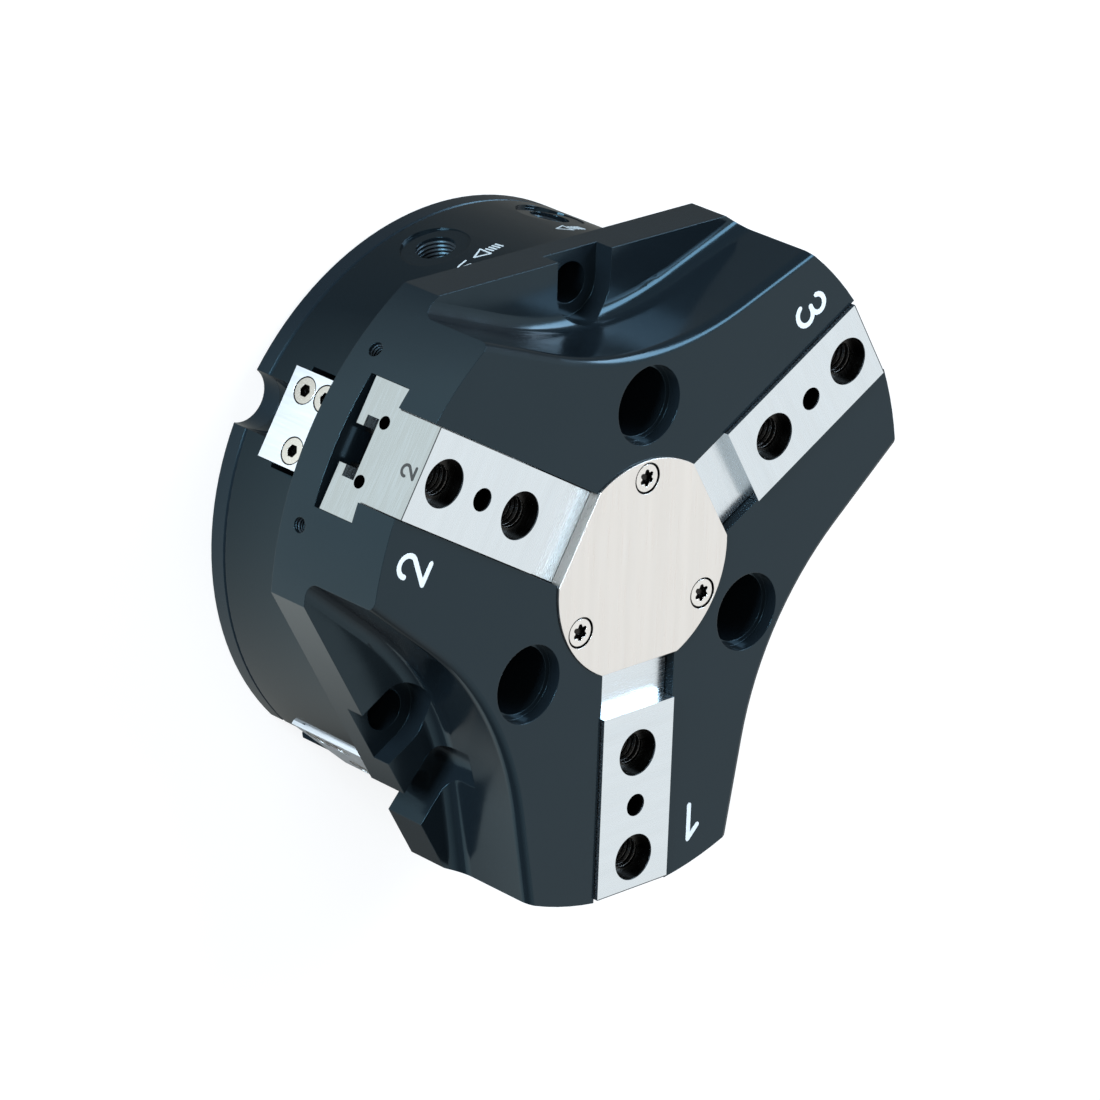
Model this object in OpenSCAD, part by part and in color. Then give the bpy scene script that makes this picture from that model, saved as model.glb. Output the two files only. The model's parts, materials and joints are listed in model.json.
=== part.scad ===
// Three jaw centric gripper, pneumatic, with wedge hook drive.
//
// The origin is the centre of the mounting face. +Z is the gripper's axis and points
// to the jaws. Jaw 1 points to -Y, jaw 2 and jaw 3 follow clockwise, 120 degrees apart.
// The jaws are modelled fully open, with the piston at the jaw end of its cylinder.
// Sizes are in millimetres.

/* [Housing] */
// Diameter of the round base
base_d = 125; // [125:1:160]
// Total height of the housing, from mounting face to front face
body_h = 65; // [65:1:85]
// Height of the round base, from mounting face to the arms
base_h = 34; // [34:1:36]
// Thickness of the plate that closes the back
rear_plate_t = 5; // [5:0.5:6]
// How far the arms stand out past the base
arm_reach = 12; // [10:0.5:16]
// Height of the flat rim that runs round the foot of each flute
facet_h = 10.3; // [9:0.1:12]
// Angle between a flute's straight end and the flat rim
flute_angle = 20; // [16:1:22]
// Radius of the curved middle of a flute
flute_r = 72.3; // [65:0.1:80]
// Fillet between a flute and the front face
flute_edge_r = 2.2; // [1:0.1:2.4]
// Fillet at the foot of a flute
flute_foot_r = 3.3; // [2:0.1:4]

/* [Mounting holes] */
// Diameter of the through holes for the mounting screws
bolt_d = 9; // [8.4:0.1:9]
// Diameter of the counterbore for the screw heads
bolt_head_d = 15; // [14:0.1:15]
// Diameter of the wide mouth of an inner mounting hole
bolt_mouth_d = 17.3; // [16:0.1:17.5]
// Depth of that mouth
bolt_mouth_h = 3; // [2:0.1:4]
// Height of the seat under the inner screw heads
inner_seat_z = 30; // [28:1:34]
// Depth of the pocket for an outer screw head, below the flute's foot
outer_seat_h = 4.6; // [3:0.1:5]
// Distance from the outer mounting holes to the rim of the base
bolt_edge = 7; // [6:0.1:9]
// Wall between an inner mounting hole's mouth and the flute
flute_wall = 3.15; // [3.15:0.05:5]

/* [Jaws] */
// Travel of each jaw
jaw_stroke = 10; // [6:0.5:10]
// Width of the jaw's stem
jaw_w = 20; // [18:0.5:21]
// How far the T-section's flange stands out on each side of the stem
flange_lip = 4.5; // [3.5:0.1:4.6]
// Height of the T-slot's flange space
flange_space_h = 11.5; // [10:0.5:12]
// Height of the housing's lip above the flange
lip_h = 11.2; // [10:0.1:12]
// How far the jaw stands above the front face
jaw_rise = 0.9; // [0.5:0.1:2]
// How far the jaw's inner tongue lies below the front face
tongue_drop = 2.3; // [2.3:0.1:3]
// Distance from the jaw's outer end to the ends of the arms
jaw_end_gap = 1.5; // [1:0.1:3]
// Distance from the jaw's outer end to its outer fixing hole
jaw_hole_end = 7.3; // [7:0.1:9]
// Distance between the two fixing holes of a jaw
jaw_hole_pitch = 24.1; // [20:0.1:24.1]
// Diameter of the fixing holes
jaw_hole_d = 6.8; // [5:0.1:8]
// Diameter of the centring counterbores
jaw_sleeve_d = 10.4; // [9:0.1:12]
// Depth of the centring counterbores
jaw_sleeve_h = 2.6; // [2:0.1:3]
// Diameter of the pin hole between the fixing holes
jaw_pin_d = 5; // [3:0.1:6]

/* [Drive] */
// Travel of the piston
piston_stroke = 12; // [10:0.5:12]
// Wall between the cylinder and an inner mounting hole
cylinder_wall = 3.5; // [3:0.1:6]
// Thickness of the partition between cylinder and wedge chamber
partition_t = 6.3; // [6.3:0.1:8]
// Diameter of the piston rod
rod_d = 20; // [16:0.5:20]
// Height by which the wedge hook reaches into the slots' floor level
hook_sink = 2; // [1:0.1:3]
// Distance of the jaws' slanted ends from the axis, at the top of the tongue
wedge_top_u = 19; // [18:0.5:21]
// Width of a wedge key's neck
key_neck_w = 8; // [6:0.5:9]
// Width of a wedge key's head
key_head_w = 14; // [11:0.5:14]
// Length of a wedge key's neck
key_neck_l = 2.5; // [2:0.1:3]
// Thickness of a wedge key's head
key_head_l = 3; // [2.5:0.1:3.5]

/* [Cover] */
// Diameter of the cover plate
cover_d = 47.8; // [47.4:0.2:48]
// Distance from the axis to the cover's flats
cover_flat = 21.4; // [21:0.1:21.6]
// How far the cover stands above the front face
cover_rise = 0.45; // [0.2:0.05:1]
// Distance from the axis to the cover screws
cover_screw_r = 20; // [19:0.5:20]

/* [Ports and sensors] */
// Diameter of the air ports
port_d = 8.6; // [7:0.1:9]
// Diameter of the spotface round an air port
port_face_d = 15; // [13:0.5:16]
// Height of the air ports above the mounting face
port_z = 16.2; // [15:0.1:18]
// Angle between the two air ports
port_angle = 30; // [28:1:34]
// Width of the sensor brackets
bracket_w = 20.2; // [19:0.2:22]
// Height of the brackets' lower edge above the mounting face
bracket_z = 11.3; // [10:0.1:12]
// Thickness of a bracket's plate
bracket_t = 3; // [2.5:0.1:4]
// Diameter of the sensor bores
sensor_d = 5; // [4:0.5:5]
// Radius of the cable notches in the back rim
notch_r = 6; // [5.6:0.1:7]

/* [Hidden] */

// Surface quality and clearances
$fn = 96;
eps = 0.01;        // overlap of cuts that meet
fit = 0.05;        // running clearance on each side of a sliding piece
slot_side = 0.25;  // side clearance of a jaw in its slot
seat = 0.02;       // clearance of a fixed piece in its seat
edge_rise = 0.05;  // how far a flute's upper fillet is cut short by the front face
big = 200;         // longer than anything in the gripper

// Directions
jaw_az = [-90, 150, 30];
gap_az = [for (a = jaw_az) a + 180];
sensor_az = [150, 229];
port_az = [90 - port_angle / 2, 90 + port_angle / 2];
screw_az = [for (i = [0:5]) 60 * i];
dowel_az = [15, 195];

// Plan of the housing, from the rim inwards
base_r = base_d / 2;
arm_r = base_r + arm_reach;
facet_d = base_r + 0.2;
outer_bolt_r = base_r - bolt_edge;
outer_pocket_r = bolt_head_d / 2;
flute_d = outer_bolt_r - outer_pocket_r - 0.2;
inner_bolt_r = flute_d - flute_wall - bolt_mouth_d / 2;
cylinder_r = inner_bolt_r - bolt_d / 2 - cylinder_wall;
rear_screw_r = base_r - 16.5;

// Levels, from the front face down
jaw_top_z = body_h + jaw_rise;
tongue_z = body_h - tongue_drop;
cover_z = tongue_z + 0.1;
cover_top_z = body_h + cover_rise;
lip_z = body_h - lip_h;
slot_z = lip_z - flange_space_h;
hook_z = slot_z + hook_sink;
hook_floor_z = hook_z - piston_stroke - 0.1;
cylinder_top_z = hook_floor_z - partition_t;
end_gap = 0.2;
piston_top_z = cylinder_top_z - end_gap;
piston_z = rear_plate_t + end_gap + piston_stroke;
shelf_z = base_h + facet_h;
outer_seat_z = shelf_z - outer_seat_h;

// Jaw section
stem_hw = jaw_w / 2;
slot_hw = stem_hw + slot_side;
flange_hw = stem_hw + flange_lip;
flange_slot_hw = flange_hw + 0.1;
flange_top_z = lip_z - fit;
jaw_z = slot_z + fit;
jaw_end_r = arm_r - jaw_end_gap;
jaw_relief_z = slot_z + 1.5;
jaw_relief_l = 12;
step_r = cover_flat + jaw_stroke + end_gap;
jaw_hole_r = [jaw_end_r - jaw_hole_end - jaw_hole_pitch, jaw_end_r - jaw_hole_end];
jaw_hole_depth = 14;
jaw_pin_depth = 10;
end_hole_d = 2.9;
end_hole_x = 6.4;
end_hole_z = slot_z + 8.8;
end_hole_depth = 8;

// T-groove under the jaw's outer end, and the cam in it
groove_l = 18;
groove_mouth_hw = 4.25;
groove_hw = 6.65;
groove_z = jaw_relief_z + 2.1;
groove_top_z = groove_z + 3.5;
cam_l = 12;
cam_end_gap = 3;
cam_screw_d = 3;

// Wedge between hook and jaws: how far out the slanted face lies at a level
wedge_slope = jaw_stroke / piston_stroke;
function wedge_u(z) = wedge_top_u + (tongue_z - z) * wedge_slope;
key_roof_z = tongue_z - 1.5;
hook_top_z = key_roof_z - end_gap;
hook_hw = stem_hw;
key_reach = wedge_u(hook_z) + key_neck_l + key_head_l;
cavity_hw = hook_hw + 0.3;

// Piston, rod and seals
rod_r = rod_d / 2;
rod_spigot_r = 6;
rod_spigot_h = 2;
piston_edge = 2.6;
guide_z = piston_z + 2.9;
guide_h = 2;
seal_z = guide_z + guide_h + 0.7;
seal_h = 2.2;
groove_depth = 2.5;
bush_wall = 2;
rod_seal_wall = 3;
rod_seal_h = 2;
hook_screw_d = 8;
hook_head_d = 13;
hook_head_h = 8;
hook_head_z = hook_z + 8;
hook_screw_l = 22;
hook_hex = 6;

// Screws, pins and plugs
plate_screw_d = 5;
plate_head_d = 10;
plate_screw_l = 16;
plate_hex = 3;
dowel_d = 5;
dowel_l = 12;
dowel_z = 1;
direct_port_r = base_r - 17.5;
direct_port_d = 4;
plug_d = 5;
plug_l = 4;
cover_thread_d = 3;
cover_head_d = 6;
cover_head_h = 1.7;
cover_screw_l = 6.8;
chamber_ring_r = cylinder_r + 1.4;
chamber_ring_d = 1.4;
air_d = 3.5;
air_r = cylinder_r + 4.5;
air_slot_h = 3;

// Sensor brackets
bracket_face = base_r;
bracket_back = bracket_face - bracket_t;
bracket_top_z = base_h - 0.6;
pocket_z = bracket_z + 3.7;
pocket_hw = bracket_w / 2 + 1.1;
sensor_inset = 0.2;
sensor_r = base_r - notch_r + sensor_d / 2 + sensor_inset;
sensor_gap = 0.3;
block_depth = 10;
block_back = bracket_back - block_depth;
block_hw = bracket_w / 2 - 1;
block_z = bracket_z + 2;
bracket_thread_d = 3;
bracket_head_d = 5.6;
bracket_head_h = 2;
bracket_hex = 2.5;
clamp_screws = [[-5.95, 5], [6.4, 8.5]];
fixing_screws = [[-5.95, 11.2], [6.4, 16.7]];
sensor_slot_hw = 4.66;
sensor_slot_top = slot_z + 9.7;
sensor_slot_r = outer_bolt_r;

// Air ports
port_flat = base_r - 0.6;
port_depth = 10;
port_drill_d = 5;

// Holes in the ends of the arms
end_thread_d = 3.3;
end_thread_az = 15;
end_thread_z = base_h + 5.6;
end_thread_depth = 8;

// Colours
anodised = [0.13, 0.16, 0.19];
steel = [0.78, 0.80, 0.81];
bright = [0.90, 0.90, 0.92];
satin = [0.86, 0.85, 0.83];
bronze = [0.62, 0.47, 0.26];
elastomer = [0.08, 0.08, 0.08];
aluminium = [0.70, 0.72, 0.74];

// Children turned to a direction round the axis
module at(az)
    rotate([0, 0, az]) children();

// Outline in the radial plane, u outwards and z up, made into a slab across that plane
module slab(outline, half_width)
    rotate([90, 0, 0])
        linear_extrude(2 * half_width, center = true)
            polygon(outline);

// Block from u0 to u1, half_width to each side, z0 to z1
module block(u0, u1, half_width, z0, z1)
    translate([u0, -half_width, z0])
        cube([u1 - u0, 2 * half_width, z1 - z0]);

// Upright cylinder between two levels, at a distance u out
module pillar(r, z0, z1, u = 0)
    translate([u, 0, z0])
        cylinder(r = r, h = z1 - z0);

// Level cylinder that points outwards, from u0 to u1, at x across and z up
module spoke(r, u0, u1, z, x = 0)
    translate([u0, x, z])
        rotate([0, 90, 0])
            cylinder(r = r, h = u1 - u0);

// Slab that follows the wedge's slant, u_in to u_out in front of it
module slanted(u_in, u_out, half_width, z0, z1)
    slab([[wedge_u(z0) + u_in, z0], [wedge_u(z0) + u_out, z0],
          [wedge_u(z1) + u_out, z1], [wedge_u(z1) + u_in, z1]], half_width);

// T-shaped wedge key with a clearance c on its sides; its foot is sunk by root
module wedge_key(c, root, z0, z1) {
    slanted(-root, key_neck_l + eps, key_neck_w / 2 + c, z0, z1);
    slanted(key_neck_l - c, key_neck_l + key_head_l + c, key_head_w / 2 + c, z0, z1);
}

// Hexagon socket, width across flats w
module hex_socket(w, depth)
    cylinder(r = w / sqrt(3), h = depth, $fn = 6);

// Six-lobe socket
module lobe_socket(r, depth) {
    cylinder(r = 0.72 * r, h = depth);
    for (i = [0:5])
        rotate([0, 0, 60 * i])
            translate([0.72 * r, 0, 0])
                cylinder(r = 0.28 * r, h = depth);
}

// Section of a flute: what it removes, at a distance from its centre of curvature
module flute_section() {
    edge = flute_edge_r;
    edge_z = body_h - edge + edge_rise;
    foot = flute_foot_r;
    difference() {
        translate([0, shelf_z])
            square([flute_r, body_h + 1 - shelf_z]);
        difference() {
            translate([flute_r - foot, shelf_z - eps])
                square([foot + eps, foot + eps]);
            translate([flute_r - foot, shelf_z + foot])
                circle(r = foot);
        }
    }
    difference() {
        translate([flute_r - eps, edge_z])
            square([edge + eps, edge + 1]);
        translate([flute_r + edge, edge_z])
            circle(r = edge);
    }
}

// Flute between two arms: a curved middle with a straight end on each side
module flute() {
    centre = flute_d + flute_r;
    translate([centre, 0, 0]) {
        rotate([0, 0, 180 - flute_angle])
            rotate_extrude(angle = 2 * flute_angle)
                flute_section();
        for (side = [0, 1])
            mirror([0, side, 0])
                rotate([0, 0, 180 - flute_angle])
                    rotate([90, 0, 0])
                        linear_extrude(arm_r)
                            flute_section();
    }
}

// Round base with a fine chamfer at its lower edge, and the three arms
module housing_blank() {
    chamfer = 0.4;
    pillar(base_r, rear_plate_t + chamfer, base_h + 1);
    translate([0, 0, rear_plate_t])
        cylinder(r1 = base_r - chamfer, r2 = base_r, h = chamfer);
    difference() {
        pillar(arm_r, base_h, body_h);
        for (az = gap_az)
            at(az) block(facet_d, arm_r + 1, big / 2, base_h - 1, body_h + 1);
    }
}

// Pocket with a screw hole, let into the foot of a flute and open to the outside
module outer_bolt_hole() {
    pillar(outer_pocket_r, outer_seat_z, body_h - flute_edge_r, outer_bolt_r);
    block(outer_bolt_r, arm_r, outer_pocket_r, outer_seat_z, shelf_z + 1);
    pillar(bolt_d / 2, -1, body_h, outer_bolt_r);
}

module inner_bolt_hole() {
    pillar(bolt_mouth_d / 2, body_h - bolt_mouth_h, body_h + 1, inner_bolt_r);
    pillar(bolt_head_d / 2, inner_seat_z, body_h, inner_bolt_r);
    pillar(bolt_d / 2, -1, body_h, inner_bolt_r);
}

// T-slot of one arm, open at the arm's end
module jaw_slot() {
    block(0, arm_r + 1, flange_slot_hw, slot_z, lip_z);
    block(0, arm_r + 1, slot_hw, lip_z - eps, body_h + 1);
}

// Room below a T-slot for the wedge hook in its low position
module hook_room()
    block(0, key_reach + 0.7, cavity_hw, hook_floor_z, slot_z + eps);

// Cylinder for the piston, with the seats for rod bush and rod seal in the partition
module cylinder_bore() {
    pillar(cylinder_r, rear_plate_t - 1, cylinder_top_z);
    pillar(rod_r + 0.3, cylinder_top_z - 1, hook_floor_z + 1);
    pillar(rod_r + bush_wall, cylinder_top_z + rod_seal_h + 0.6, hook_floor_z + 1);
    pillar(rod_r + rod_seal_wall, cylinder_top_z + 0.4, cylinder_top_z + 0.4 + rod_seal_h);
}

// One air port: spotface, threaded hole, drill, and the passage to one end of the cylinder
module air_port(z_low, z_high) {
    spoke(port_face_d / 2, port_flat, arm_r, port_z);
    spoke(port_d / 2, port_flat - port_depth, arm_r, port_z);
    spoke(port_drill_d / 2, air_r - 2, port_flat - port_depth + 1, port_z);
    pillar(air_d / 2, z_low, z_high, air_r);
    pillar(direct_port_d / 2, rear_plate_t - 1, port_z, direct_port_r);
}

// Pocket for a sensor bracket, with the cable notch in the back rim
module bracket_pocket() {
    block(bracket_back, arm_r, bracket_w / 2 + 0.1, bracket_z - 0.1, base_h);
    block(block_back - 0.2, arm_r, block_hw + 0.2, block_z - 0.3, base_h);
    block(block_back - 0.2, arm_r, pocket_hw, pocket_z, base_h);
    pillar(notch_r, -1, pocket_z + 1, base_r);
}

module housing()
    color(anodised)
        difference() {
            housing_blank();
            for (az = gap_az)
                at(az) {
                    flute();
                    outer_bolt_hole();
                    inner_bolt_hole();
                }
            for (az = jaw_az)
                at(az) {
                    jaw_slot();
                    hook_room();
                    for (side = [-1, 1])
                        at(side * end_thread_az)
                            spoke(end_thread_d / 2, arm_r - end_thread_depth, arm_r + 1, end_thread_z);
                }
            pillar(cover_d / 2 + 0.1, cover_z, body_h + 1);
            for (az = gap_az)
                at(az) pillar(cover_thread_d / 2 + seat, lip_z + 1, body_h, cover_screw_r);
            cylinder_bore();
            at(port_az[0]) {
                air_port(port_z, cylinder_top_z);
                block(cylinder_r - 1, air_r, air_d / 2, cylinder_top_z - air_slot_h, cylinder_top_z);
            }
            at(port_az[1]) {
                air_port(rear_plate_t + 1.5, port_z);
                block(cylinder_r - 1, air_r, air_d / 2, rear_plate_t + 1.5,
                      rear_plate_t + 1.5 + air_slot_h);
            }
            for (az = sensor_az)
                at(az) {
                    bracket_pocket();
                    for (s = fixing_screws)
                        spoke(bracket_thread_d / 2 + seat, block_back - 4.5, block_back,
                              bracket_z + s[1], s[0]);
                }
            at(sensor_az[0])
                pillar(sensor_d / 2 + sensor_gap, base_h - 1, slot_z + 1, sensor_r);
            at(sensor_az[1]) {
                pillar(sensor_slot_hw, base_h - 1, sensor_slot_top, sensor_slot_r);
                block(sensor_slot_r, arm_r, sensor_slot_hw, base_h - 1, sensor_slot_top);
            }
            for (az = screw_az)
                at(az) pillar(plate_screw_d / 2 + seat, 0, plate_screw_l + 1, rear_screw_r);
            for (az = dowel_az)
                at(az) pillar(dowel_d / 2 + seat, 0, dowel_z + dowel_l + 1, rear_screw_r);
        }

module rear_plate() {
    chamfer = 0.4;
    back_chamfer = 0.8;
    color(anodised)
        difference() {
            union() {
                cylinder(r1 = base_r - back_chamfer, r2 = base_r, h = back_chamfer);
                pillar(base_r, back_chamfer, rear_plate_t - chamfer);
                translate([0, 0, rear_plate_t - chamfer])
                    cylinder(r1 = base_r, r2 = base_r - chamfer, h = chamfer);
            }
            for (az = gap_az)
                at(az) {
                    pillar(bolt_d / 2, -1, rear_plate_t + 1, outer_bolt_r);
                    pillar(bolt_d / 2, -1, rear_plate_t + 1, inner_bolt_r);
                }
            for (az = sensor_az)
                at(az) pillar(notch_r, -1, rear_plate_t + 1, base_r);
            for (az = screw_az)
                at(az) translate([rear_screw_r, 0, 0]) plate_screw_shape(seat, 1);
            for (az = dowel_az)
                at(az) pillar(dowel_d / 2 + seat, -1, rear_plate_t + 1, rear_screw_r);
            for (az = port_az)
                at(az) pillar(plug_d / 2 + seat, -1, rear_plate_t + 1, direct_port_r);
            translate([0, 0, rear_plate_t])
                rotate_extrude()
                    translate([chamber_ring_r, 0])
                        square([chamber_ring_d + 0.1, 2 * chamber_ring_d - 0.2], center = true);
        }
}

// Countersunk screw from its head down, grown by a clearance c; extra lengthens both ends
module plate_screw_shape(c, extra) {
    cone_h = (plate_head_d - plate_screw_d) / 2;
    pillar(plate_head_d / 2 + c, 0.3 - extra, 0.5 + c);
    translate([0, 0, 0.5 + c - eps])
        cylinder(r1 = plate_head_d / 2 + c, r2 = plate_screw_d / 2 + c, h = cone_h);
    pillar(plate_screw_d / 2 + c, 0.5, plate_screw_l + extra);
}

module rear_plate_screws()
    color(steel)
        for (az = screw_az)
            at(az)
                translate([rear_screw_r, 0, 0])
                    difference() {
                        plate_screw_shape(0, 0);
                        translate([0, 0, -0.5])
                            hex_socket(plate_hex, 2.8);
                    }

module dowel_pins()
    color(steel)
        for (az = dowel_az)
            at(az) {
                pillar(dowel_d / 2, dowel_z + 0.5, dowel_z + dowel_l - 0.5, rear_screw_r);
                translate([rear_screw_r, 0, dowel_z])
                    cylinder(r1 = dowel_d / 2 - 0.4, r2 = dowel_d / 2, h = 0.5);
                translate([rear_screw_r, 0, dowel_z + dowel_l - 0.5])
                    cylinder(r1 = dowel_d / 2, r2 = dowel_d / 2 - 0.4, h = 0.5);
            }

module direct_port_plugs()
    color(steel)
        for (az = port_az)
            at(az)
                translate([direct_port_r, 0, 0.5])
                    difference() {
                        cylinder(r = plug_d / 2, h = plug_l);
                        translate([0, 0, -1])
                            hex_socket(2.5, 3);
                    }

module chamber_seal()
    color(elastomer)
        translate([0, 0, rear_plate_t - chamber_ring_d / 2 + 0.05])
            rotate_extrude()
                translate([chamber_ring_r, 0])
                    circle(r = chamber_ring_d / 2 - 0.1, $fn = 32);

module rod_bush()
    color(bronze)
        difference() {
            pillar(rod_r + bush_wall - seat, cylinder_top_z + rod_seal_h + 0.65, hook_floor_z);
            pillar(rod_r + fit, cylinder_top_z, hook_floor_z + 1);
        }

module rod_seal()
    color(elastomer)
        difference() {
            pillar(rod_r + rod_seal_wall - seat, cylinder_top_z + 0.45,
                   cylinder_top_z + 0.35 + rod_seal_h);
            pillar(rod_r + seat, cylinder_top_z, cylinder_top_z + rod_seal_h + 1);
        }

// Ring cut into the piston's edge
module piston_groove(z, h)
    difference() {
        pillar(cylinder_r + 1, z, z + h);
        pillar(cylinder_r - groove_depth, z - 1, z + h + 1);
    }

module piston()
    color(aluminium)
        difference() {
            union() {
                translate([0, 0, piston_z])
                    cylinder(r1 = cylinder_r - fit - piston_edge, r2 = cylinder_r - fit, h = piston_edge);
                pillar(cylinder_r - fit, piston_z + piston_edge, piston_top_z - 0.5);
                translate([0, 0, piston_top_z - 0.5])
                    cylinder(r1 = cylinder_r - fit, r2 = cylinder_r - fit - 0.5, h = 0.5);
                pillar(rod_r, piston_top_z - 1, hook_z);
                pillar(rod_spigot_r, hook_z - 1, hook_z + rod_spigot_h);
            }
            piston_groove(guide_z, guide_h);
            piston_groove(seal_z, seal_h);
            pillar(hook_screw_d / 2 + seat, hook_head_z - hook_screw_l - 2, hook_z + rod_spigot_h + 1);
        }

// Ring that fills one of the piston's grooves, up to a clearance from the cylinder
module piston_ring(z, h, c)
    difference() {
        pillar(cylinder_r - c, z + fit, z + h - fit);
        pillar(cylinder_r - groove_depth + seat, z - 1, z + h + 1);
    }

module piston_seal()
    color(elastomer) piston_ring(seal_z, seal_h, seat);

module piston_guide_ring()
    color(bronze) piston_ring(guide_z, guide_h, seat);

// Y-shaped hub with a slanted face and a T-shaped key towards each jaw
module wedge_hook()
    color(steel)
        difference() {
            for (az = jaw_az)
                at(az) {
                    slab([[0, hook_z], [wedge_u(hook_z) - fit, hook_z],
                          [wedge_u(hook_top_z) - fit, hook_top_z], [0, hook_top_z]], hook_hw);
                    wedge_key(0, 1, hook_z, hook_top_z);
                }
            pillar(hook_screw_d / 2 + 0.25, hook_z - 1, hook_top_z + 1);
            pillar(rod_spigot_r + seat, hook_z - 1, hook_z + rod_spigot_h + 0.1);
            pillar(hook_head_d / 2 + 0.5, hook_head_z, hook_top_z + 1);
        }

module hook_screw()
    color(steel)
        difference() {
            union() {
                pillar(hook_screw_d / 2, hook_head_z - hook_screw_l, hook_head_z);
                pillar(hook_head_d / 2, hook_head_z, hook_head_z + hook_head_h);
            }
            translate([0, 0, hook_head_z + hook_head_h - 4])
                hex_socket(hook_hex, 5);
        }

module cover_plate()
    color(satin)
        difference() {
            pillar(cover_d / 2, cover_z, cover_top_z);
            for (az = jaw_az)
                at(az) block(cover_flat, cover_d, cover_d, cover_z - 1, cover_top_z + 1);
            for (az = gap_az)
                at(az) {
                    pillar(cover_thread_d / 2 + 0.2, cover_z - 1, cover_top_z, cover_screw_r);
                    pillar(cover_head_d / 2 + 0.45, cover_top_z - cover_head_h - 0.2, cover_top_z + 1,
                           cover_screw_r);
                }
        }

module cover_screws()
    color(bright)
        for (az = gap_az)
            at(az)
                translate([cover_screw_r, 0, cover_top_z - 0.2])
                    difference() {
                        union() {
                            translate([0, 0, -cover_head_h])
                                cylinder(r = cover_head_d / 2, h = cover_head_h);
                            translate([0, 0, -cover_head_h - cover_screw_l])
                                cylinder(r = cover_thread_d / 2, h = cover_screw_l + 1);
                        }
                        translate([0, 0, -1])
                            lobe_socket(1.9, 2);
                    }

// Plate that closes the pocket, with a block behind it that clamps the sensor
module sensor_bracket(az)
    color(bright)
        at(az)
            difference() {
                union() {
                    block(bracket_back, bracket_face, bracket_w / 2, bracket_z, bracket_top_z);
                    block(block_back, bracket_back + eps, block_hw, block_z, bracket_top_z);
                }
                pillar(sensor_d / 2, bracket_z - 1, base_h, sensor_r);
                for (s = concat(clamp_screws, fixing_screws)) {
                    spoke(bracket_thread_d / 2 + 0.15, block_back - 1, base_r, bracket_z + s[1], s[0]);
                    spoke(bracket_head_d / 2 + 0.25, bracket_face - bracket_head_h - 0.1, arm_r,
                          bracket_z + s[1], s[0]);
                }
            }

module bracket_screw(place, tip)
    translate([0, place[0], bracket_z + place[1]])
        difference() {
            union() {
                spoke(bracket_thread_d / 2, tip, bracket_face - 1, 0);
                spoke(bracket_head_d / 2, bracket_face - bracket_head_h - 0.1, bracket_face - 0.1, 0);
            }
            translate([bracket_face - 1.5, 0, 0])
                rotate([0, 90, 0])
                    hex_socket(bracket_hex, 2);
        }

module bracket_screws()
    color(bright)
        for (az = sensor_az)
            at(az) {
                for (s = clamp_screws)
                    bracket_screw(s, block_back + 1);
                for (s = fixing_screws)
                    bracket_screw(s, block_back - 4);
            }

// Outline of the jaw in the radial plane: slanted inner end, step, square outer end
module base_jaw(az)
    color(steel)
        at(az)
            difference() {
                union() {
                    slab([[wedge_u(jaw_z), jaw_z], [jaw_end_r, jaw_z],
                          [jaw_end_r, flange_top_z], [wedge_u(flange_top_z), flange_top_z]], flange_hw);
                    slab([[wedge_u(flange_top_z - 1), flange_top_z - 1], [jaw_end_r, flange_top_z - 1],
                          [jaw_end_r, jaw_top_z], [step_r, jaw_top_z], [step_r, tongue_z],
                          [wedge_u(tongue_z), tongue_z]], stem_hw);
                }
                wedge_key(fit, 5, jaw_z - 1, key_roof_z);
                block(jaw_end_r - jaw_relief_l, jaw_end_r + 1, flange_hw + 1, jaw_z - 1, jaw_relief_z);
                block(jaw_end_r - groove_l, jaw_end_r + 1, groove_mouth_hw, jaw_z - 1, groove_z + eps);
                block(jaw_end_r - groove_l, jaw_end_r + 1, groove_hw, groove_z, groove_top_z);
                for (r = jaw_hole_r) {
                    pillar(jaw_hole_d / 2, jaw_top_z - jaw_hole_depth, jaw_top_z, r);
                    pillar(jaw_sleeve_d / 2, jaw_top_z - jaw_sleeve_h, jaw_top_z + 1, r);
                }
                pillar(jaw_pin_d / 2, jaw_top_z - jaw_pin_depth, jaw_top_z + 1,
                       (jaw_hole_r[0] + jaw_hole_r[1]) / 2);
                for (side = [-1, 1])
                    spoke(end_hole_d / 2, jaw_end_r - end_hole_depth, jaw_end_r + 1, end_hole_z,
                          side * end_hole_x);
            }

module base_jaw_1() base_jaw(jaw_az[0]);
module base_jaw_2() base_jaw(jaw_az[1]);
module base_jaw_3() base_jaw(jaw_az[2]);

// Bar in the jaw's T-groove, with a hollow outer end and a hole for its clamping screw
module switching_cam(az) {
    end_r = jaw_end_r - cam_end_gap;
    color(bright)
        at(az)
            difference() {
                union() {
                    block(end_r - cam_l, end_r, groove_mouth_hw - fit, jaw_relief_z + 0.2, groove_z + 1);
                    block(end_r - cam_l, end_r, groove_hw - fit, groove_z + fit, groove_top_z - fit);
                }
                translate([end_r + 3, 0, jaw_relief_z])
                    rotate([90, 0, 0])
                        cylinder(r = 5, h = groove_hw, center = true);
                pillar(cam_screw_d / 2 + seat, jaw_z, lip_z, end_r - cam_l / 2 - 1);
            }
}

module switching_cam_1() switching_cam(jaw_az[0]);
module switching_cam_2() switching_cam(jaw_az[1]);
module switching_cam_3() switching_cam(jaw_az[2]);

module cam_screw(az)
    color(steel)
        at(az)
            difference() {
                pillar(cam_screw_d / 2, jaw_relief_z + 0.5, groove_top_z - seat,
                       jaw_end_r - cam_end_gap - cam_l / 2 - 1);
                translate([jaw_end_r - cam_end_gap - cam_l / 2 - 1, 0, jaw_relief_z])
                    hex_socket(1.5, 2);
            }

module cam_screw_1() cam_screw(jaw_az[0]);
module cam_screw_2() cam_screw(jaw_az[1]);
module cam_screw_3() cam_screw(jaw_az[2]);

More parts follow.
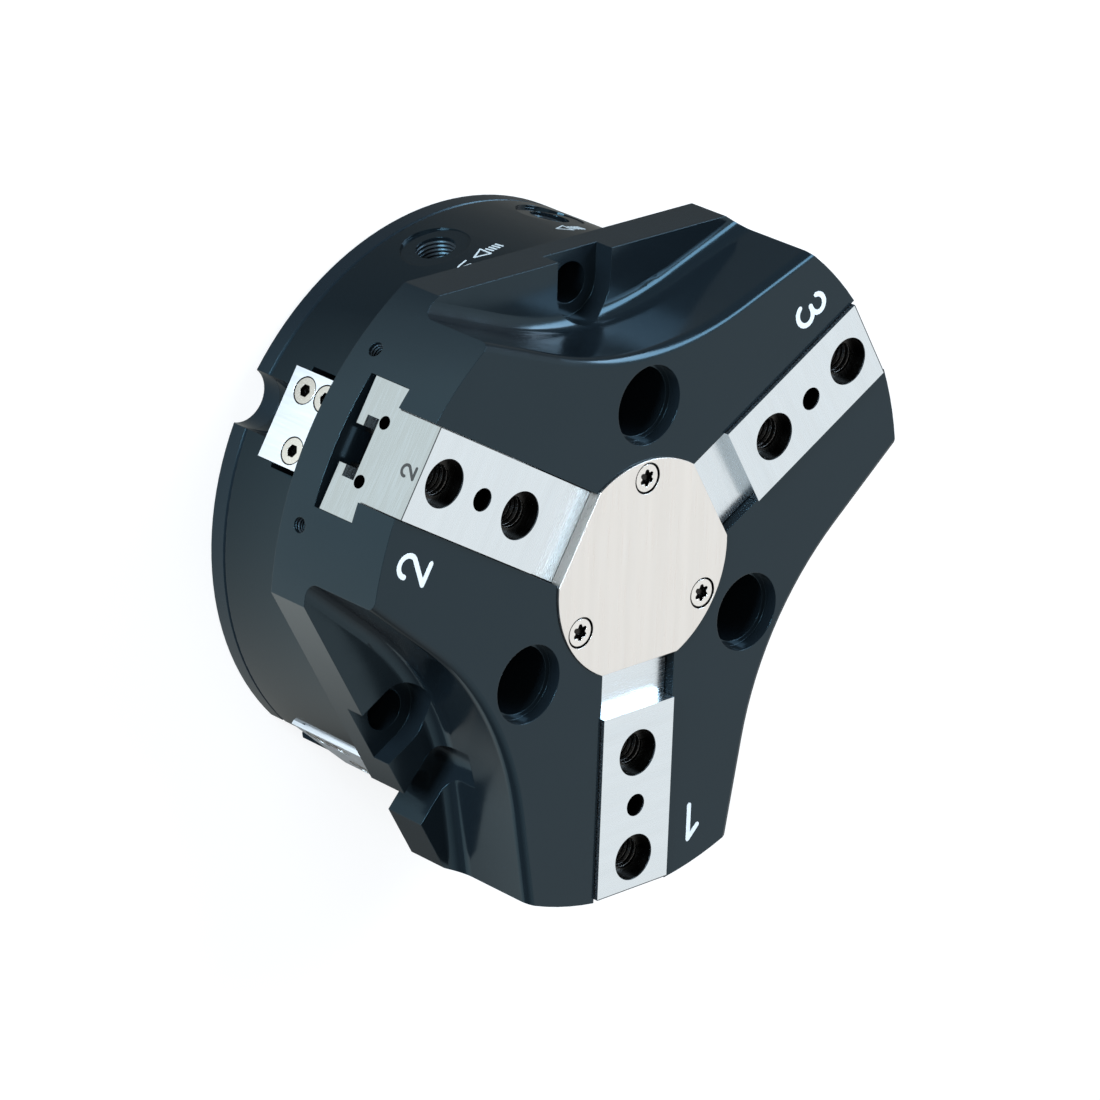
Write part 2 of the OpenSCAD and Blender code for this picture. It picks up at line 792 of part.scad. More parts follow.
housing();
rear_plate();
rear_plate_screws();
dowel_pins();
direct_port_plugs();
chamber_seal();
rod_bush();
rod_seal();
piston();
piston_seal();
piston_guide_ring();
wedge_hook();
hook_screw();
cover_plate();
cover_screws();
sensor_bracket(sensor_az[0]);  // sensor_bracket_1
sensor_bracket(sensor_az[1]);  // sensor_bracket_2
bracket_screws();
base_jaw_1();
base_jaw_2();
base_jaw_3();
switching_cam_1();
switching_cam_2();
switching_cam_3();
cam_screw_1();
cam_screw_2();
cam_screw_3();
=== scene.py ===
import json
import math

import bmesh
import bpy
from mathutils import Matrix, Vector


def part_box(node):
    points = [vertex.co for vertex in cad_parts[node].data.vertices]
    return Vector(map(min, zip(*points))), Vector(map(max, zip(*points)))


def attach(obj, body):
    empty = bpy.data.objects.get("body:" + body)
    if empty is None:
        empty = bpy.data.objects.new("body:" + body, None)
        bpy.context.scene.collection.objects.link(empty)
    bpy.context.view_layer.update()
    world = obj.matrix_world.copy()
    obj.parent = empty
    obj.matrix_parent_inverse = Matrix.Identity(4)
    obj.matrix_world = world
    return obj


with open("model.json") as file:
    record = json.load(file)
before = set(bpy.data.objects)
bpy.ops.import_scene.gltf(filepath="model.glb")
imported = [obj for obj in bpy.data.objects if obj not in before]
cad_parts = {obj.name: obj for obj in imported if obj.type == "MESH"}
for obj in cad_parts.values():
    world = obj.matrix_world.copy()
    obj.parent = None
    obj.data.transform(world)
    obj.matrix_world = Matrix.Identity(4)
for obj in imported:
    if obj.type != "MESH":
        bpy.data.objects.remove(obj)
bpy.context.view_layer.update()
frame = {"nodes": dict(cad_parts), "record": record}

# The gripper stands on the back of its base, with its jaw face up and arm 1 along -Y. Each CAD node keeps
# its mesh and gets a finish. The markings, the turns of the threads and the stage are made here.


# --------------------------------------------------------- sizes and places

MM = 0.001
NODES = frame["nodes"]
MOUNTS = {mount["name"]: mount for mount in frame["record"]["mounts"]}

JAW_AZ = {1: -90.0, 2: 150.0, 3: 30.0}
BRACKET_AZ = {1: 150.0, 2: 229.0}

FRONT_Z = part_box("housing")[1].z
JAW_TOP_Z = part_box("base_jaw_1")[1].z
JAW_END_R = -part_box("base_jaw_1")[0].y      # jaw 1 points along -Y
COVER_TOP_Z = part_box("cover_plate")[1].z
COVER_SCREW_TOP_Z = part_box("cover_screws")[1].z
BASE_R = 62.5 * MM
BASE_TOP_Z = 33.9 * MM                      # the turned base ends here, under the arms
ARM_R = 74.5 * MM

# Two small holes in the end of each jaw, at the same distance to each side of its middle
JAW_END_HOLE_V = 6.4 * MM
JAW_END_HOLE_Z = 51.1 * MM
JAW_END_HOLE_R = 1.55 * MM

# Two threaded holes in the end of each arm, at the same angle in degrees to each side of its middle
ARM_END_HOLE_AZ = 15
ARM_END_HOLE_Z = 39.6 * MM
ARM_END_HOLE_R = 1.65 * MM
ARM_END_HOLE_DEPTH = 8 * MM

# Screws of the cover and of each bracket, and the radius of their counterbores
COVER_SCREW_R = 20 * MM
COVER_BORE_R = 3.6 * MM
BRACKET_SCREWS = ((-5.95, 16.3), (6.4, 19.8), (-5.95, 22.5), (6.4, 28.0))   # across and up, in mm
BRACKET_BORE_R = 3.15 * MM


def polar(u, v, z, azimuth):
    """The point at distance u outwards and v counter-clockwise of an azimuth."""
    turn = math.radians(azimuth)
    return Vector((u * math.cos(turn) - v * math.sin(turn), u * math.sin(turn) + v * math.cos(turn), z))


# ------------------------------------------------------------- shader nodes

# Socket numbers of a mix node that mixes colours
MIX_FACTOR = 0
MIX_FIRST = 6
MIX_SECOND = 7
MIX_RESULT = 2


def is_socket(value):
    return isinstance(value, bpy.types.NodeSocket)


def node(tree, kind, inputs=None, **settings):
    """Adds a shader node; each input is a socket to link or a plain value."""
    made = tree.nodes.new(kind)
    for key, value in settings.items():
        setattr(made, key, value)
    for key, value in (inputs or {}).items():
        if is_socket(value):
            tree.links.new(value, made.inputs[key])
        else:
            made.inputs[key].default_value = value
    return made


def math_node(tree, operation, first, second):
    return node(tree, "ShaderNodeMath", {0: first, 1: second}, operation=operation).outputs[0]


def vector_math(tree, operation, first, second):
    return node(tree, "ShaderNodeVectorMath", {0: first, 1: second}, operation=operation)


def above(tree, value, level):
    """1 where value is more than level, else 0."""
    return math_node(tree, "GREATER_THAN", value, level)


def below(tree, value, level):
    """1 where value is less than level, else 0."""
    return math_node(tree, "LESS_THAN", value, level)


def remap(tree, value, low, high, out_low, out_high):
    """Low to high becomes out_low to out_high, and stays at those ends outside."""
    return node(tree, "ShaderNodeMapRange", {
        "Value": value, "From Min": low, "From Max": high, "To Min": out_low, "To Max": out_high,
    }).outputs[0]


def object_space(tree, turn=0.0, scale=(1, 1, 1)):
    """Object coordinates in metres, turned about Z by minus turn degrees, then scaled."""
    coords = node(tree, "ShaderNodeTexCoord").outputs["Object"]
    rotation = (0, 0, math.radians(-turn))
    turned_coords = node(tree, "ShaderNodeMapping", {"Vector": coords, "Rotation": rotation}).outputs[0]
    return node(tree, "ShaderNodeMapping", {"Vector": turned_coords, "Scale": scale}).outputs[0]


def along(tree, space, axis):
    """One coordinate of a vector socket."""
    return node(tree, "ShaderNodeSeparateXYZ", {0: space}).outputs[axis]


def noise(tree, vector, scale, detail=3.0):
    return node(tree, "ShaderNodeTexNoise", {"Vector": vector, "Scale": scale, "Detail": detail}).outputs[0]


def around(tree, value, middle, under, over):
    """A noise, which is mostly 0.3 to 0.7, as a number from middle minus under to middle plus over."""
    return remap(tree, value, 0.3, 0.7, middle - under, middle + over)


def mixed(tree, factor, first, second):
    """Goes from the first colour to the second as factor goes from 0 to 1."""
    first, second = [value if is_socket(value) else (*value, 1) for value in (first, second)]
    made = node(tree, "ShaderNodeMix", {MIX_FACTOR: factor, MIX_FIRST: first, MIX_SECOND: second},
                data_type="RGBA")
    return made.outputs[MIX_RESULT]


def tinted(colour, factor):
    return tuple(min(1.0, channel * factor) for channel in colour)


def uneven(tree, factor, colour, dark, light):
    """The colour times dark to light, as factor goes from 0 to 1."""
    return mixed(tree, factor, tinted(colour, dark), tinted(colour, light))


def bump(tree, shader, height, strength, distance, edge):
    """Relief from a height; edge rounds the corners over that radius."""
    made = node(tree, "ShaderNodeBump", {"Height": height, "Strength": strength, "Distance": distance})
    if edge:
        rounded = node(tree, "ShaderNodeBevel", {"Radius": edge}, samples=4)
        tree.links.new(rounded.outputs[0], made.inputs["Normal"])
    tree.links.new(made.outputs[0], shader.inputs["Normal"])


def near_lines(tree, space, across, points, radius):
    """1 within radius of any of these lines; across has 0 for the lines' own axis and 1 for the others."""
    flat = vector_math(tree, "MULTIPLY", space, across).outputs[0]
    mask = None
    for point in points:
        away = vector_math(tree, "DISTANCE", flat, point).outputs["Value"]
        inside = below(tree, away, radius)
        mask = inside if mask is None else math_node(tree, "MAXIMUM", mask, inside)
    return mask


def darken(tree, shader, mask, colour, within=None):
    """The base colour turns to colour where mask, and within if given, is 1."""
    if within is not None:
        mask = math_node(tree, "MULTIPLY", mask, within)
    base = shader.inputs["Base Color"].links[0].from_socket
    tree.links.new(mixed(tree, mask, base, colour), shader.inputs["Base Color"])


# ---------------------------------------------------------------- materials

BLUISH = (0.30, 0.56, 0.70)                 # tint of an anodised face's mirror light
JAW_STEEL = (0.70, 0.765, 0.80)
PAINTED_HOLE_SHADE = (0.03, 0.029, 0.027)                 # painted shade for the inside of screw holes, for counterbores and for screws below their heads

# Noise scales, in waves per metre
CLOUDS = 35.0
PATCHES = 90.0
GRIT = 2600.0
TURNING_LINES = 2400.0
BRUSH_LINES = 2200.0
BRUSH_BANDS = 320.0
SPECKS = 1500.0

# How far under a face the painted shade of its holes begins
JAW_LIP = 0.35 * MM
JAW_END_LIP = 0.1 * MM
PLATE_LIP = 0.04 * MM
COVER_HEAD_LIP = 0.12 * MM
BRACKET_HEAD_LIP = 0.22 * MM

HOLE_MARGIN = 0.1 * MM                      # how far outside a jaw hole's wall its painted shade still reaches
SKIN = 0.02 * MM                            # a point this near to a face counts as on it

# Painted shade as a dark line along the top edge of a jaw's end: its width on the top face and on the end
# face
EDGE_SHADE_TOP = 0.22 * MM
EDGE_SHADE_END = 0.12 * MM


def new_material(name, roughness, metallic=0.0, specular=0.5):
    made = bpy.data.materials.new(name)
    made.use_nodes = True
    tree = made.node_tree
    shader = tree.nodes["Principled BSDF"]
    shader.inputs["Metallic"].default_value = metallic
    shader.inputs["Roughness"].default_value = roughness
    shader.inputs["Specular IOR Level"].default_value = specular
    return made, tree, shader


def anodised(name, colour, roughness, turned_and_shaded_below=None):
    """Hard-anodised aluminium, fine-grained and faintly cloudy; below a level it has turning lines and a
    painted shade that darkens it.
    """
    made, tree, shader = new_material(name, roughness)
    shader.inputs["Specular Tint"].default_value = (*BLUISH, 1)
    space = object_space(tree)
    base = uneven(tree, noise(tree, space, CLOUDS), colour, dark=0.85, light=1.15)
    relief = noise(tree, space, GRIT, detail=2.0)
    rough = around(tree, noise(tree, space, PATCHES), roughness, under=0.04, over=0.05)
    if turned_and_shaded_below is not None:
        lower = below(tree, along(tree, space, "Z"), turned_and_shaded_below)
        rings = noise(tree, object_space(tree, scale=(0.02, 0.02, 1.0)), TURNING_LINES, detail=2.0)
        # painted shade: the base below the arms is coloured darker
        painted_base_shade = 0.68
        smoother = 0.07
        base = mixed(tree, lower, base, tinted(colour, painted_base_shade))
        rough = math_node(tree, "SUBTRACT", rough, math_node(tree, "MULTIPLY", lower, smoother))
        relief = math_node(tree, "ADD", relief, math_node(tree, "MULTIPLY", lower, rings))
    tree.links.new(base, shader.inputs["Base Color"])
    tree.links.new(rough, shader.inputs["Roughness"])
    bump(tree, shader, relief, strength=0.12, distance=0.03 * MM, edge=0.22 * MM)
    return made


def brushed(name, colour, roughness, turn=0.0, stretch=(1, 1, 1), grain=1.4, strength=0.15, metallic=1.0,
            edge=0.15 * MM):
    """Metal with a straight grain along the axis, turned by turn degrees, on which stretch is small."""
    made, tree, shader = new_material(name, roughness, metallic)
    space = object_space(tree, turn, stretch)
    lines = noise(tree, space, BRUSH_LINES * grain, detail=2.0)
    bands = noise(tree, space, BRUSH_BANDS * grain)
    tree.links.new(uneven(tree, bands, colour, dark=0.93, light=1.05), shader.inputs["Base Color"])
    tree.links.new(around(tree, lines, roughness, under=0.06, over=0.08), shader.inputs["Roughness"])
    bump(tree, shader, lines, strength, distance=0.007 * MM, edge=edge)
    return made, tree, shader


def turned(name, colour, roughness):
    """Turned or plain machined metal, with no direction in its grain."""
    return brushed(name, colour, roughness)[0]


def plain(name, colour, roughness):
    """Rubber, ink or laser mark: slightly uneven."""
    made, tree, shader = new_material(name, roughness, specular=0.4)
    speck = noise(tree, object_space(tree), SPECKS)
    tree.links.new(uneven(tree, speck, colour, dark=0.9, light=1.08), shader.inputs["Base Color"])
    return made


def jaw_material(number):
    """Ground steel with the grain across the jaw; painted shade in its holes, on its end face and along the
    top edge of its end.
    """
    azimuth = JAW_AZ[number]
    made, tree, shader = brushed(f"jaw_steel_{number}", JAW_STEEL, 0.26, azimuth, (1.0, 0.05, 1.0),
                                 grain=1.0, strength=0.3, edge=0.0)
    space = object_space(tree, azimuth)
    outward, height = along(tree, space, "X"), along(tree, space, "Z")

    under_top = below(tree, height, JAW_TOP_Z - JAW_LIP)
    # painted shade in the jaw's holes
    for holes in (("sleeve_1", "sleeve_2"), ("pin",)):
        mounts = [MOUNTS[f"jaw_{number}_{hole}"] for hole in holes]
        points = [(Vector(mount["pos_m"][:2]).length, 0, 0) for mount in mounts]
        radius = mounts[0]["dims"]["r_mm"] * MM + HOLE_MARGIN
        darken(tree, shader, near_lines(tree, space, (1, 1, 0), points, radius), PAINTED_HOLE_SHADE, within=under_top)

    painted_end_shade = 0.62                         # painted shade: the end face's brightness against the top face
    # painted shade along the top edge of the end
    painted_edge_shade = 0.12
    darken(tree, shader, above(tree, outward, JAW_END_R - SKIN), tinted(JAW_STEEL, painted_end_shade))
    near_end = above(tree, outward, JAW_END_R - EDGE_SHADE_TOP)
    near_top = above(tree, height, JAW_TOP_Z - EDGE_SHADE_END)
    darken(tree, shader, near_end, tinted(JAW_STEEL, painted_edge_shade), within=near_top)

    # painted shade in the two small holes of the end
    points = [(0, side * JAW_END_HOLE_V, JAW_END_HOLE_Z) for side in (-1, 1)]
    under_end = below(tree, outward, JAW_END_R - JAW_END_LIP)
    darken(tree, shader, near_lines(tree, space, (0, 1, 1), points, JAW_END_HOLE_R), PAINTED_HOLE_SHADE, within=under_end)
    return made


def cover_material():
    """Satin steel; the counterbores of its screws are darkened with painted shade."""
    made, tree, shader = brushed("cover_steel", (0.77, 0.75, 0.715), 0.32, stretch=(1.0, 0.03, 1.0),
                                 grain=1.2, strength=0.08)
    space = object_space(tree)
    under_top = below(tree, along(tree, space, "Z"), COVER_TOP_Z - PLATE_LIP)
    points = [polar(COVER_SCREW_R, 0, 0, azimuth + 180) for azimuth in JAW_AZ.values()]
    darken(tree, shader, near_lines(tree, space, (1, 1, 0), points, COVER_BORE_R), PAINTED_HOLE_SHADE, within=under_top)
    return made


def cover_screw_material():
    """Bright turned screws, with painted shade below the faces of their heads."""
    made, tree, shader = brushed("cover_screw_steel", (0.80, 0.79, 0.76), 0.22)
    height = along(tree, object_space(tree), "Z")
    darken(tree, shader, below(tree, height, COVER_SCREW_TOP_Z - COVER_HEAD_LIP), PAINTED_HOLE_SHADE)
    return made


def bracket_material(number):
    """Bright plate with an upright grain; the counterbores of its screws are darkened with painted shade."""
    azimuth = BRACKET_AZ[number]
    made, tree, shader = brushed(f"bracket_plate_{number}", (0.74, 0.745, 0.76), 0.34, azimuth,
                                 (1.0, 1.0, 0.06), grain=1.0, strength=0.25, metallic=0.7)
    space = object_space(tree, azimuth)
    under_face = below(tree, along(tree, space, "X"), BASE_R - PLATE_LIP)
    points = [(0, across * MM, up * MM) for across, up in BRACKET_SCREWS]
    darken(tree, shader, near_lines(tree, space, (0, 1, 1), points, BRACKET_BORE_R), PAINTED_HOLE_SHADE, within=under_face)
    return made


def bracket_screw_material():
    """Bright turned screws of both brackets, with painted shade below the faces of their heads."""
    made, tree, shader = brushed("bracket_screw_steel", (0.86, 0.84, 0.80), 0.22)
    outward = [along(tree, object_space(tree, azimuth), "X") for azimuth in BRACKET_AZ.values()]
    furthest = math_node(tree, "MAXIMUM", *outward)
    darken(tree, shader, below(tree, furthest, BASE_R - BRACKET_HEAD_LIP), PAINTED_HOLE_SHADE)
    return made


ANODISED_DARK = anodised("anodised_dark", (0.0055, 0.0085, 0.011), 0.15, turned_and_shaded_below=BASE_TOP_Z)
ANODISED_PLATE = anodised("anodised_plate", (0.006, 0.009, 0.012), 0.26)
BLACK_STEEL = turned("black_steel", (0.05, 0.05, 0.055), 0.35)
PLAIN_STEEL = turned("plain_steel", (0.52, 0.53, 0.55), 0.3)
CAM_STEEL = turned("cam_steel", (0.045, 0.045, 0.045), 0.18)
BRONZE = turned("bronze", (0.62, 0.42, 0.19), 0.35)
ALUMINIUM = turned("aluminium", (0.70, 0.72, 0.74), 0.32)
RUBBER = plain("rubber", (0.02, 0.02, 0.02), 0.6)
WHITE_MARK = plain("white_mark", (0.86, 0.88, 0.88), 0.5)
GREY_MARK = plain("grey_mark", (0.40, 0.42, 0.42), 0.5)
DARK_MARK = plain("dark_mark", (0.02, 0.019, 0.018), 0.5)
# painted shade: the steel threads in the jaws' holes are coloured dark
PAINTED_SHADE_THREAD = turned("painted_shade_thread", (0.10, 0.097, 0.093), 0.3)
BASE_THREAD = anodised("base_thread", (0.018, 0.02, 0.022), 0.3)

LOOKS = {
    "housing": ANODISED_DARK,
    "rear_plate": ANODISED_PLATE,
    "rear_plate_screws": BLACK_STEEL,
    "dowel_pins": PLAIN_STEEL,
    "direct_port_plugs": BLACK_STEEL,
    "chamber_seal": RUBBER,
    "rod_bush": BRONZE,
    "rod_seal": RUBBER,
    "piston": ALUMINIUM,
    "piston_seal": RUBBER,
    "piston_guide_ring": BRONZE,
    "wedge_hook": PLAIN_STEEL,
    "hook_screw": BLACK_STEEL,
    "cover_plate": cover_material(),
    "cover_screws": cover_screw_material(),
    "sensor_bracket_1": bracket_material(1),
    "sensor_bracket_2": bracket_material(2),
    "bracket_screws": bracket_screw_material(),
}
for number in JAW_AZ:
    LOOKS[f"base_jaw_{number}"] = jaw_material(number)
    LOOKS[f"switching_cam_{number}"] = CAM_STEEL
    LOOKS[f"cam_screw_{number}"] = BLACK_STEEL
for name, look in LOOKS.items():
    for material_slot in NODES[name].material_slots:
        material_slot.material = look


def add_piece(name, vertices, faces, look, body):
    mesh = bpy.data.meshes.new(name)
    mesh.from_pydata([tuple(v) for v in vertices], [], faces)
    mesh.validate()
    work = bmesh.new()
    work.from_mesh(mesh)
    bmesh.ops.recalc_face_normals(work, faces=work.faces)
    work.to_mesh(mesh)
    work.free()
    made = bpy.data.objects.new(name, mesh)
    bpy.context.scene.collection.objects.link(made)
    made.data.materials.append(look)
    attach(made, body)


# --------------------------------------------- printed and lasered markings

MARK = 0.03 * MM                            # thickness of a mark
STROKE_STEP = 0.006 * MM                    # each stroke of a mark ends this much above the one before
CAP_POINTS = 7                              # points on each round end of a stroke
LEAST_MITRE = 0.4                           # keeps the points of a sharp bend from running far out


def arc(centre, radius, start, end, steps=14):
    """Points on a circle, from start to end in degrees."""
    angles = [math.radians(start + (end - start) * i / steps) for i in range(steps + 1)]
    return [(centre[0] + radius * math.cos(angle), centre[1] + radius * math.sin(angle)) for angle in angles]


def stroke(points, width, place, lift):
    """A flat ribbon of constant width with round ends, along 2-D points; place maps (x, y, lift) to space."""
    half = width / 2
    middle = [Vector(p) for p in points]
    last = len(middle) - 1
    left, right = [], []
    for i, p in enumerate(middle):
        ahead = (middle[min(i + 1, last)] - middle[max(i - 1, 0)]).normalized()
        side = Vector((-ahead.y, ahead.x))
        mitre = 1.0
        if 0 < i < last:
            step = (middle[i + 1] - p).normalized()
            mitre = max(LEAST_MITRE, abs(side.dot(Vector((-step.y, step.x)))))
        left.append(p + side * half / mitre)
        right.append(p - side * half / mitre)

    def cap(end, from_point):
        """The clockwise half circle round an end, without its first and last points."""
        start = math.atan2(from_point.y - end.y, from_point.x - end.x)
        angles = [start - math.pi * k / (CAP_POINTS + 1) for k in range(1, CAP_POINTS + 1)]
        return [end + half * Vector((math.cos(angle), math.sin(angle))) for angle in angles]

    outline = left + cap(middle[last], left[last]) + right[::-1] + cap(middle[0], right[0])
    count = len(outline)
    first_right = 2 * last + CAP_POINTS + 1             # index of the right-hand point at the start
    vertices = [place(p.x, p.y, 0.0) for p in outline] + [place(p.x, p.y, lift) for p in outline]
    faces = [[i, (i + 1) % count, count + (i + 1) % count, count + i] for i in range(count)]
    for level in (0, count):
        sheet = [[i, i + 1, first_right - (i + 1), first_right - i] for i in range(last)]
        sheet.append(list(range(last, last + CAP_POINTS + 2)))
        sheet.append([0] + list(range(first_right, count)))
        faces += [[level + i for i in face] for face in sheet]
    return vertices, faces


def marking(name, lines, width, place, look, body):
    """One piece made of several strokes; width and the points of its lines are in mm."""
    vertices, faces = [], []
    for order, points in enumerate(lines):
        first = len(vertices)
        stroke_vertices, stroke_faces = stroke(points, width, place, MARK + order * STROKE_STEP)
        vertices += stroke_vertices
        faces += [[first + i for i in face] for face in stroke_faces]
    add_piece(name, vertices, faces, look, body)


def digit_lines(number, height, width):
    """Strokes of a plain digit in a box from (0, 0) to (width, height)."""
    if number == 1:
        stem = width * 0.62
        flag_end = (stem - height * 0.33, height * 0.66)
        return [[(stem, 0), (stem, height)], [(stem, height), flag_end]]
    radius = width / 2
    if number == 2:
        return [arc((radius, height - radius), radius, 186, -28) + [(0, 0)], [(0, 0), (width, 0)]]
    # The two bowls of a 3: upper and lower are half their heights, and the upper one is narrower
    upper = height * 0.235
    lower = height * 0.265
    narrower = 0.88
    waist = height - 2 * upper
    top = [(radius + (x - radius) * narrower, height - upper + (y - height + upper) * upper / radius)
           for x, y in arc((radius, height - upper), radius, 165, -90)]
    low = [(x, lower + (y - lower) * lower / radius) for x, y in arc((radius, lower), radius, 90, -165)]
    return [top, low, [(radius * 0.7, waist), (radius, waist)]]


def on_front(number, inner, left):
    """Places a mark on the front face by an arm: y outwards from inner, x to the right from left, in mm."""
    def place(x, y, lift):
        return polar((inner + y) * MM, (left - x) * MM, FRONT_Z + lift, JAW_AZ[number])
    return place


def on_jaw_end(number, left, top):
    """Places a mark on a jaw's end face: y down from top, x to the right from left, in mm."""
    def place(x, y, lift):
        return polar(JAW_END_R + lift, (left - x) * MM, JAW_TOP_Z - (top + y) * MM, JAW_AZ[number])
    return place


def on_base(angle):
    """Places a mark on the round base: x clockwise from an angle, y upwards from the back, in mm."""
    def place(x, y, lift):
        return polar(BASE_R + lift, 0, y * MM, angle - math.degrees(x * MM / BASE_R))
    return place


# Number by each arm: distance of its foot from the axis, height, left side and width, in mm
FRONT_NUMBERS = {2: (59.0, 8.3, 20.4, 4.6), 1: (58.8, 7.8, 19.6, 4.6), 3: (59.1, 8.0, 19.8, 4.8)}

# Stroke widths, in mm
FRONT_STROKE = 1.15
JAW_END_STROKE = 0.66
PORT_STROKE = 0.42

for number, (inner, height, left, width) in FRONT_NUMBERS.items():
    marking(f"jaw_number_{number}", digit_lines(number, height, width), FRONT_STROKE,
            on_front(number, inner, left), WHITE_MARK, "housing_body")
for number in JAW_AZ:
    marking(f"jaw_end_number_{number}", digit_lines(number, height=3.7, width=2.35), JAW_END_STROKE,
            on_jaw_end(number, left=1.75, top=1.6), DARK_MARK, f"jaw_{number}")

# Arrows by the air ports, as strokes on the base in mm
OPEN_ARROW = [[(0, 27.4), (1.2, 26.9), (3.3, 26.6)], [(0.2, 27.4), (2.9, 28.5)]]
ARROW_HEAD = [[(0, 27.2), (3.2, 28.9)], [(3.2, 28.9), (3.2, 25.6)], [(3.2, 25.6), (0, 27.2)]]
ARROW_HATCH = [[(4.0 + 0.9 * k, 26.5), (4.3 + 0.9 * k, 28.4)] for k in range(4)]
HATCHED_ARROW = ARROW_HEAD + ARROW_HATCH
for name, lines, angle in (("port_mark_open", OPEN_ARROW, 108.8), ("port_arrow_open", HATCHED_ARROW, 104.1),
                           ("port_arrow_close", HATCHED_ARROW, 82.8)):
    marking(name, lines, PORT_STROKE, on_base(angle), GREY_MARK, "housing_body")


# ------------------------------------------------------------------ threads

M8_PITCH = 1.25 * MM
M8_DEPTH = 0.34 * MM
G18_PITCH = 0.907 * MM
G18_DEPTH = 0.3 * MM
M4_PITCH = 0.7 * MM
M4_DEPTH = 0.2 * MM
RIDGE_HALF = 0.45                           # half width of a ridge's foot, in pitches
FOOT_SINK = 0.01 * MM                       # how far a ridge's foot lies in the wall of its hole


def thread(name, centre, axis, radius, length, pitch, depth, look, body, steps):
    """A triangular ridge wound on the wall of a hole, with steps points in each turn."""
    axis = Vector(axis).normalized()
    side = axis.orthogonal().normalized()
    other = axis.cross(side)
    centre = Vector(centre)
    total = int((length - pitch) / pitch) * steps
    vertices, faces = [], []
    for i in range(total + 1):
        angle = 2 * math.pi * i / steps
        forward = -length / 2 + pitch / 2 + pitch * i / steps
        fade = min(1.0, i / steps, (total - i) / steps)
        out = side * math.cos(angle) + other * math.sin(angle)
        for reach, shift in ((radius + FOOT_SINK, -RIDGE_HALF * pitch), (radius - depth * fade, 0.0),
                             (radius + FOOT_SINK, RIDGE_HALF * pitch)):
            vertices.append(centre + out * reach + axis * (forward + shift))
        if i:
            a = 3 * (i - 1)
            faces += [[a, a + 1, a + 4, a + 3], [a + 1, a + 2, a + 5, a + 4], [a + 2, a, a + 3, a + 5]]
    faces += [[0, 1, 2], [3 * total + 2, 3 * total + 1, 3 * total]]
    add_piece(name, vertices, faces, look, body)


def mount_thread(name, mount, pitch, depth, look, body, steps=28):
    """The thread in a hole that the record names as a mount."""
    thread(name, mount["pos_m"], mount["axis"], mount["dims"]["r_mm"] * MM, mount["dims"]["length_mm"] * MM,
           pitch, depth, look, body, steps)


# the jaws' threads carry painted shade
for number in JAW_AZ:
    for hole in (1, 2):
        name = f"jaw_{number}_thread_{hole}"
        mount_thread(name, MOUNTS[name], M8_PITCH, M8_DEPTH, PAINTED_SHADE_THREAD, f"jaw_{number}")
for port in ("close", "open"):
    mount_thread(f"air_port_thread_{port}", MOUNTS[f"air_port_{port}"], G18_PITCH, G18_DEPTH, BASE_THREAD,
                 "housing_body", steps=40)
for number, azimuth in JAW_AZ.items():
    for label, side in (("a", -1), ("b", 1)):
        towards = azimuth + side * ARM_END_HOLE_AZ
        centre = polar(ARM_R - ARM_END_HOLE_DEPTH / 2, 0, ARM_END_HOLE_Z, towards)
        thread(f"arm_{number}_thread_{label}", centre, polar(1, 0, 0, towards), ARM_END_HOLE_R,
               ARM_END_HOLE_DEPTH, M4_PITCH, M4_DEPTH, BASE_THREAD, "housing_body", steps=20)


# -------------------------------------------------------------------- stage

def ray_masks(tree):
    """1 for rays from the camera, and 1 for rays that mirror in a surface or pass through one."""
    path = node(tree, "ShaderNodeLightPath")
    mirrored = math_node(tree, "MAXIMUM", path.outputs["Is Glossy Ray"], path.outputs["Is Transmission Ray"])
    return path.outputs["Is Camera Ray"], mirrored


# The sky is white to the camera and dim as a light. What mirrors it sees a large soft box to one side,
# which fades out between two cosines of the angle to its middle.
SKY_LIGHT = 0.28
SKY_MIRRORED = 0.16
SOFT_BOX_TOWARDS = (0.64, -0.38, 0.67)
SOFT_BOX_EDGE = 0.35
SOFT_BOX_CORE = 0.85

world = bpy.data.worlds.new("studio")
bpy.context.scene.world = world
world.use_nodes = True
sky = world.node_tree
seen, mirrored = ray_masks(sky)
direction = node(sky, "ShaderNodeTexCoord").outputs["Generated"]
facing_box = vector_math(sky, "DOT_PRODUCT", direction, SOFT_BOX_TOWARDS).outputs["Value"]
soft_box = remap(sky, facing_box, SOFT_BOX_EDGE, SOFT_BOX_CORE, SKY_MIRRORED, 1.0)
level = math_node(sky, "MULTIPLY", mirrored, math_node(sky, "SUBTRACT", soft_box, SKY_LIGHT))
level = math_node(sky, "ADD", level, SKY_LIGHT)
level = math_node(sky, "MAXIMUM", level, seen)
sky.links.new(level, sky.nodes["Background"].inputs["Strength"])
sky.nodes["Background"].inputs["Color"].default_value = (1, 1, 1, 1)

# The floor takes the shadow. In mirrors it has no shadow, and it grows brighter from
# BRIGHT_FROM to BRIGHT_TO metres along -X. From below it can't be seen.
FLOOR_HALF = 2.5
FLOOR_Z = -0.2 * MM
FLOOR_GREY = 0.28
FLOOR_GLOW = 0.80
BRIGHT_FROM = 0.04
BRIGHT_TO = 0.088
MIRRORED_DIM = 0.18
MIRRORED_BRIGHT = 1.2

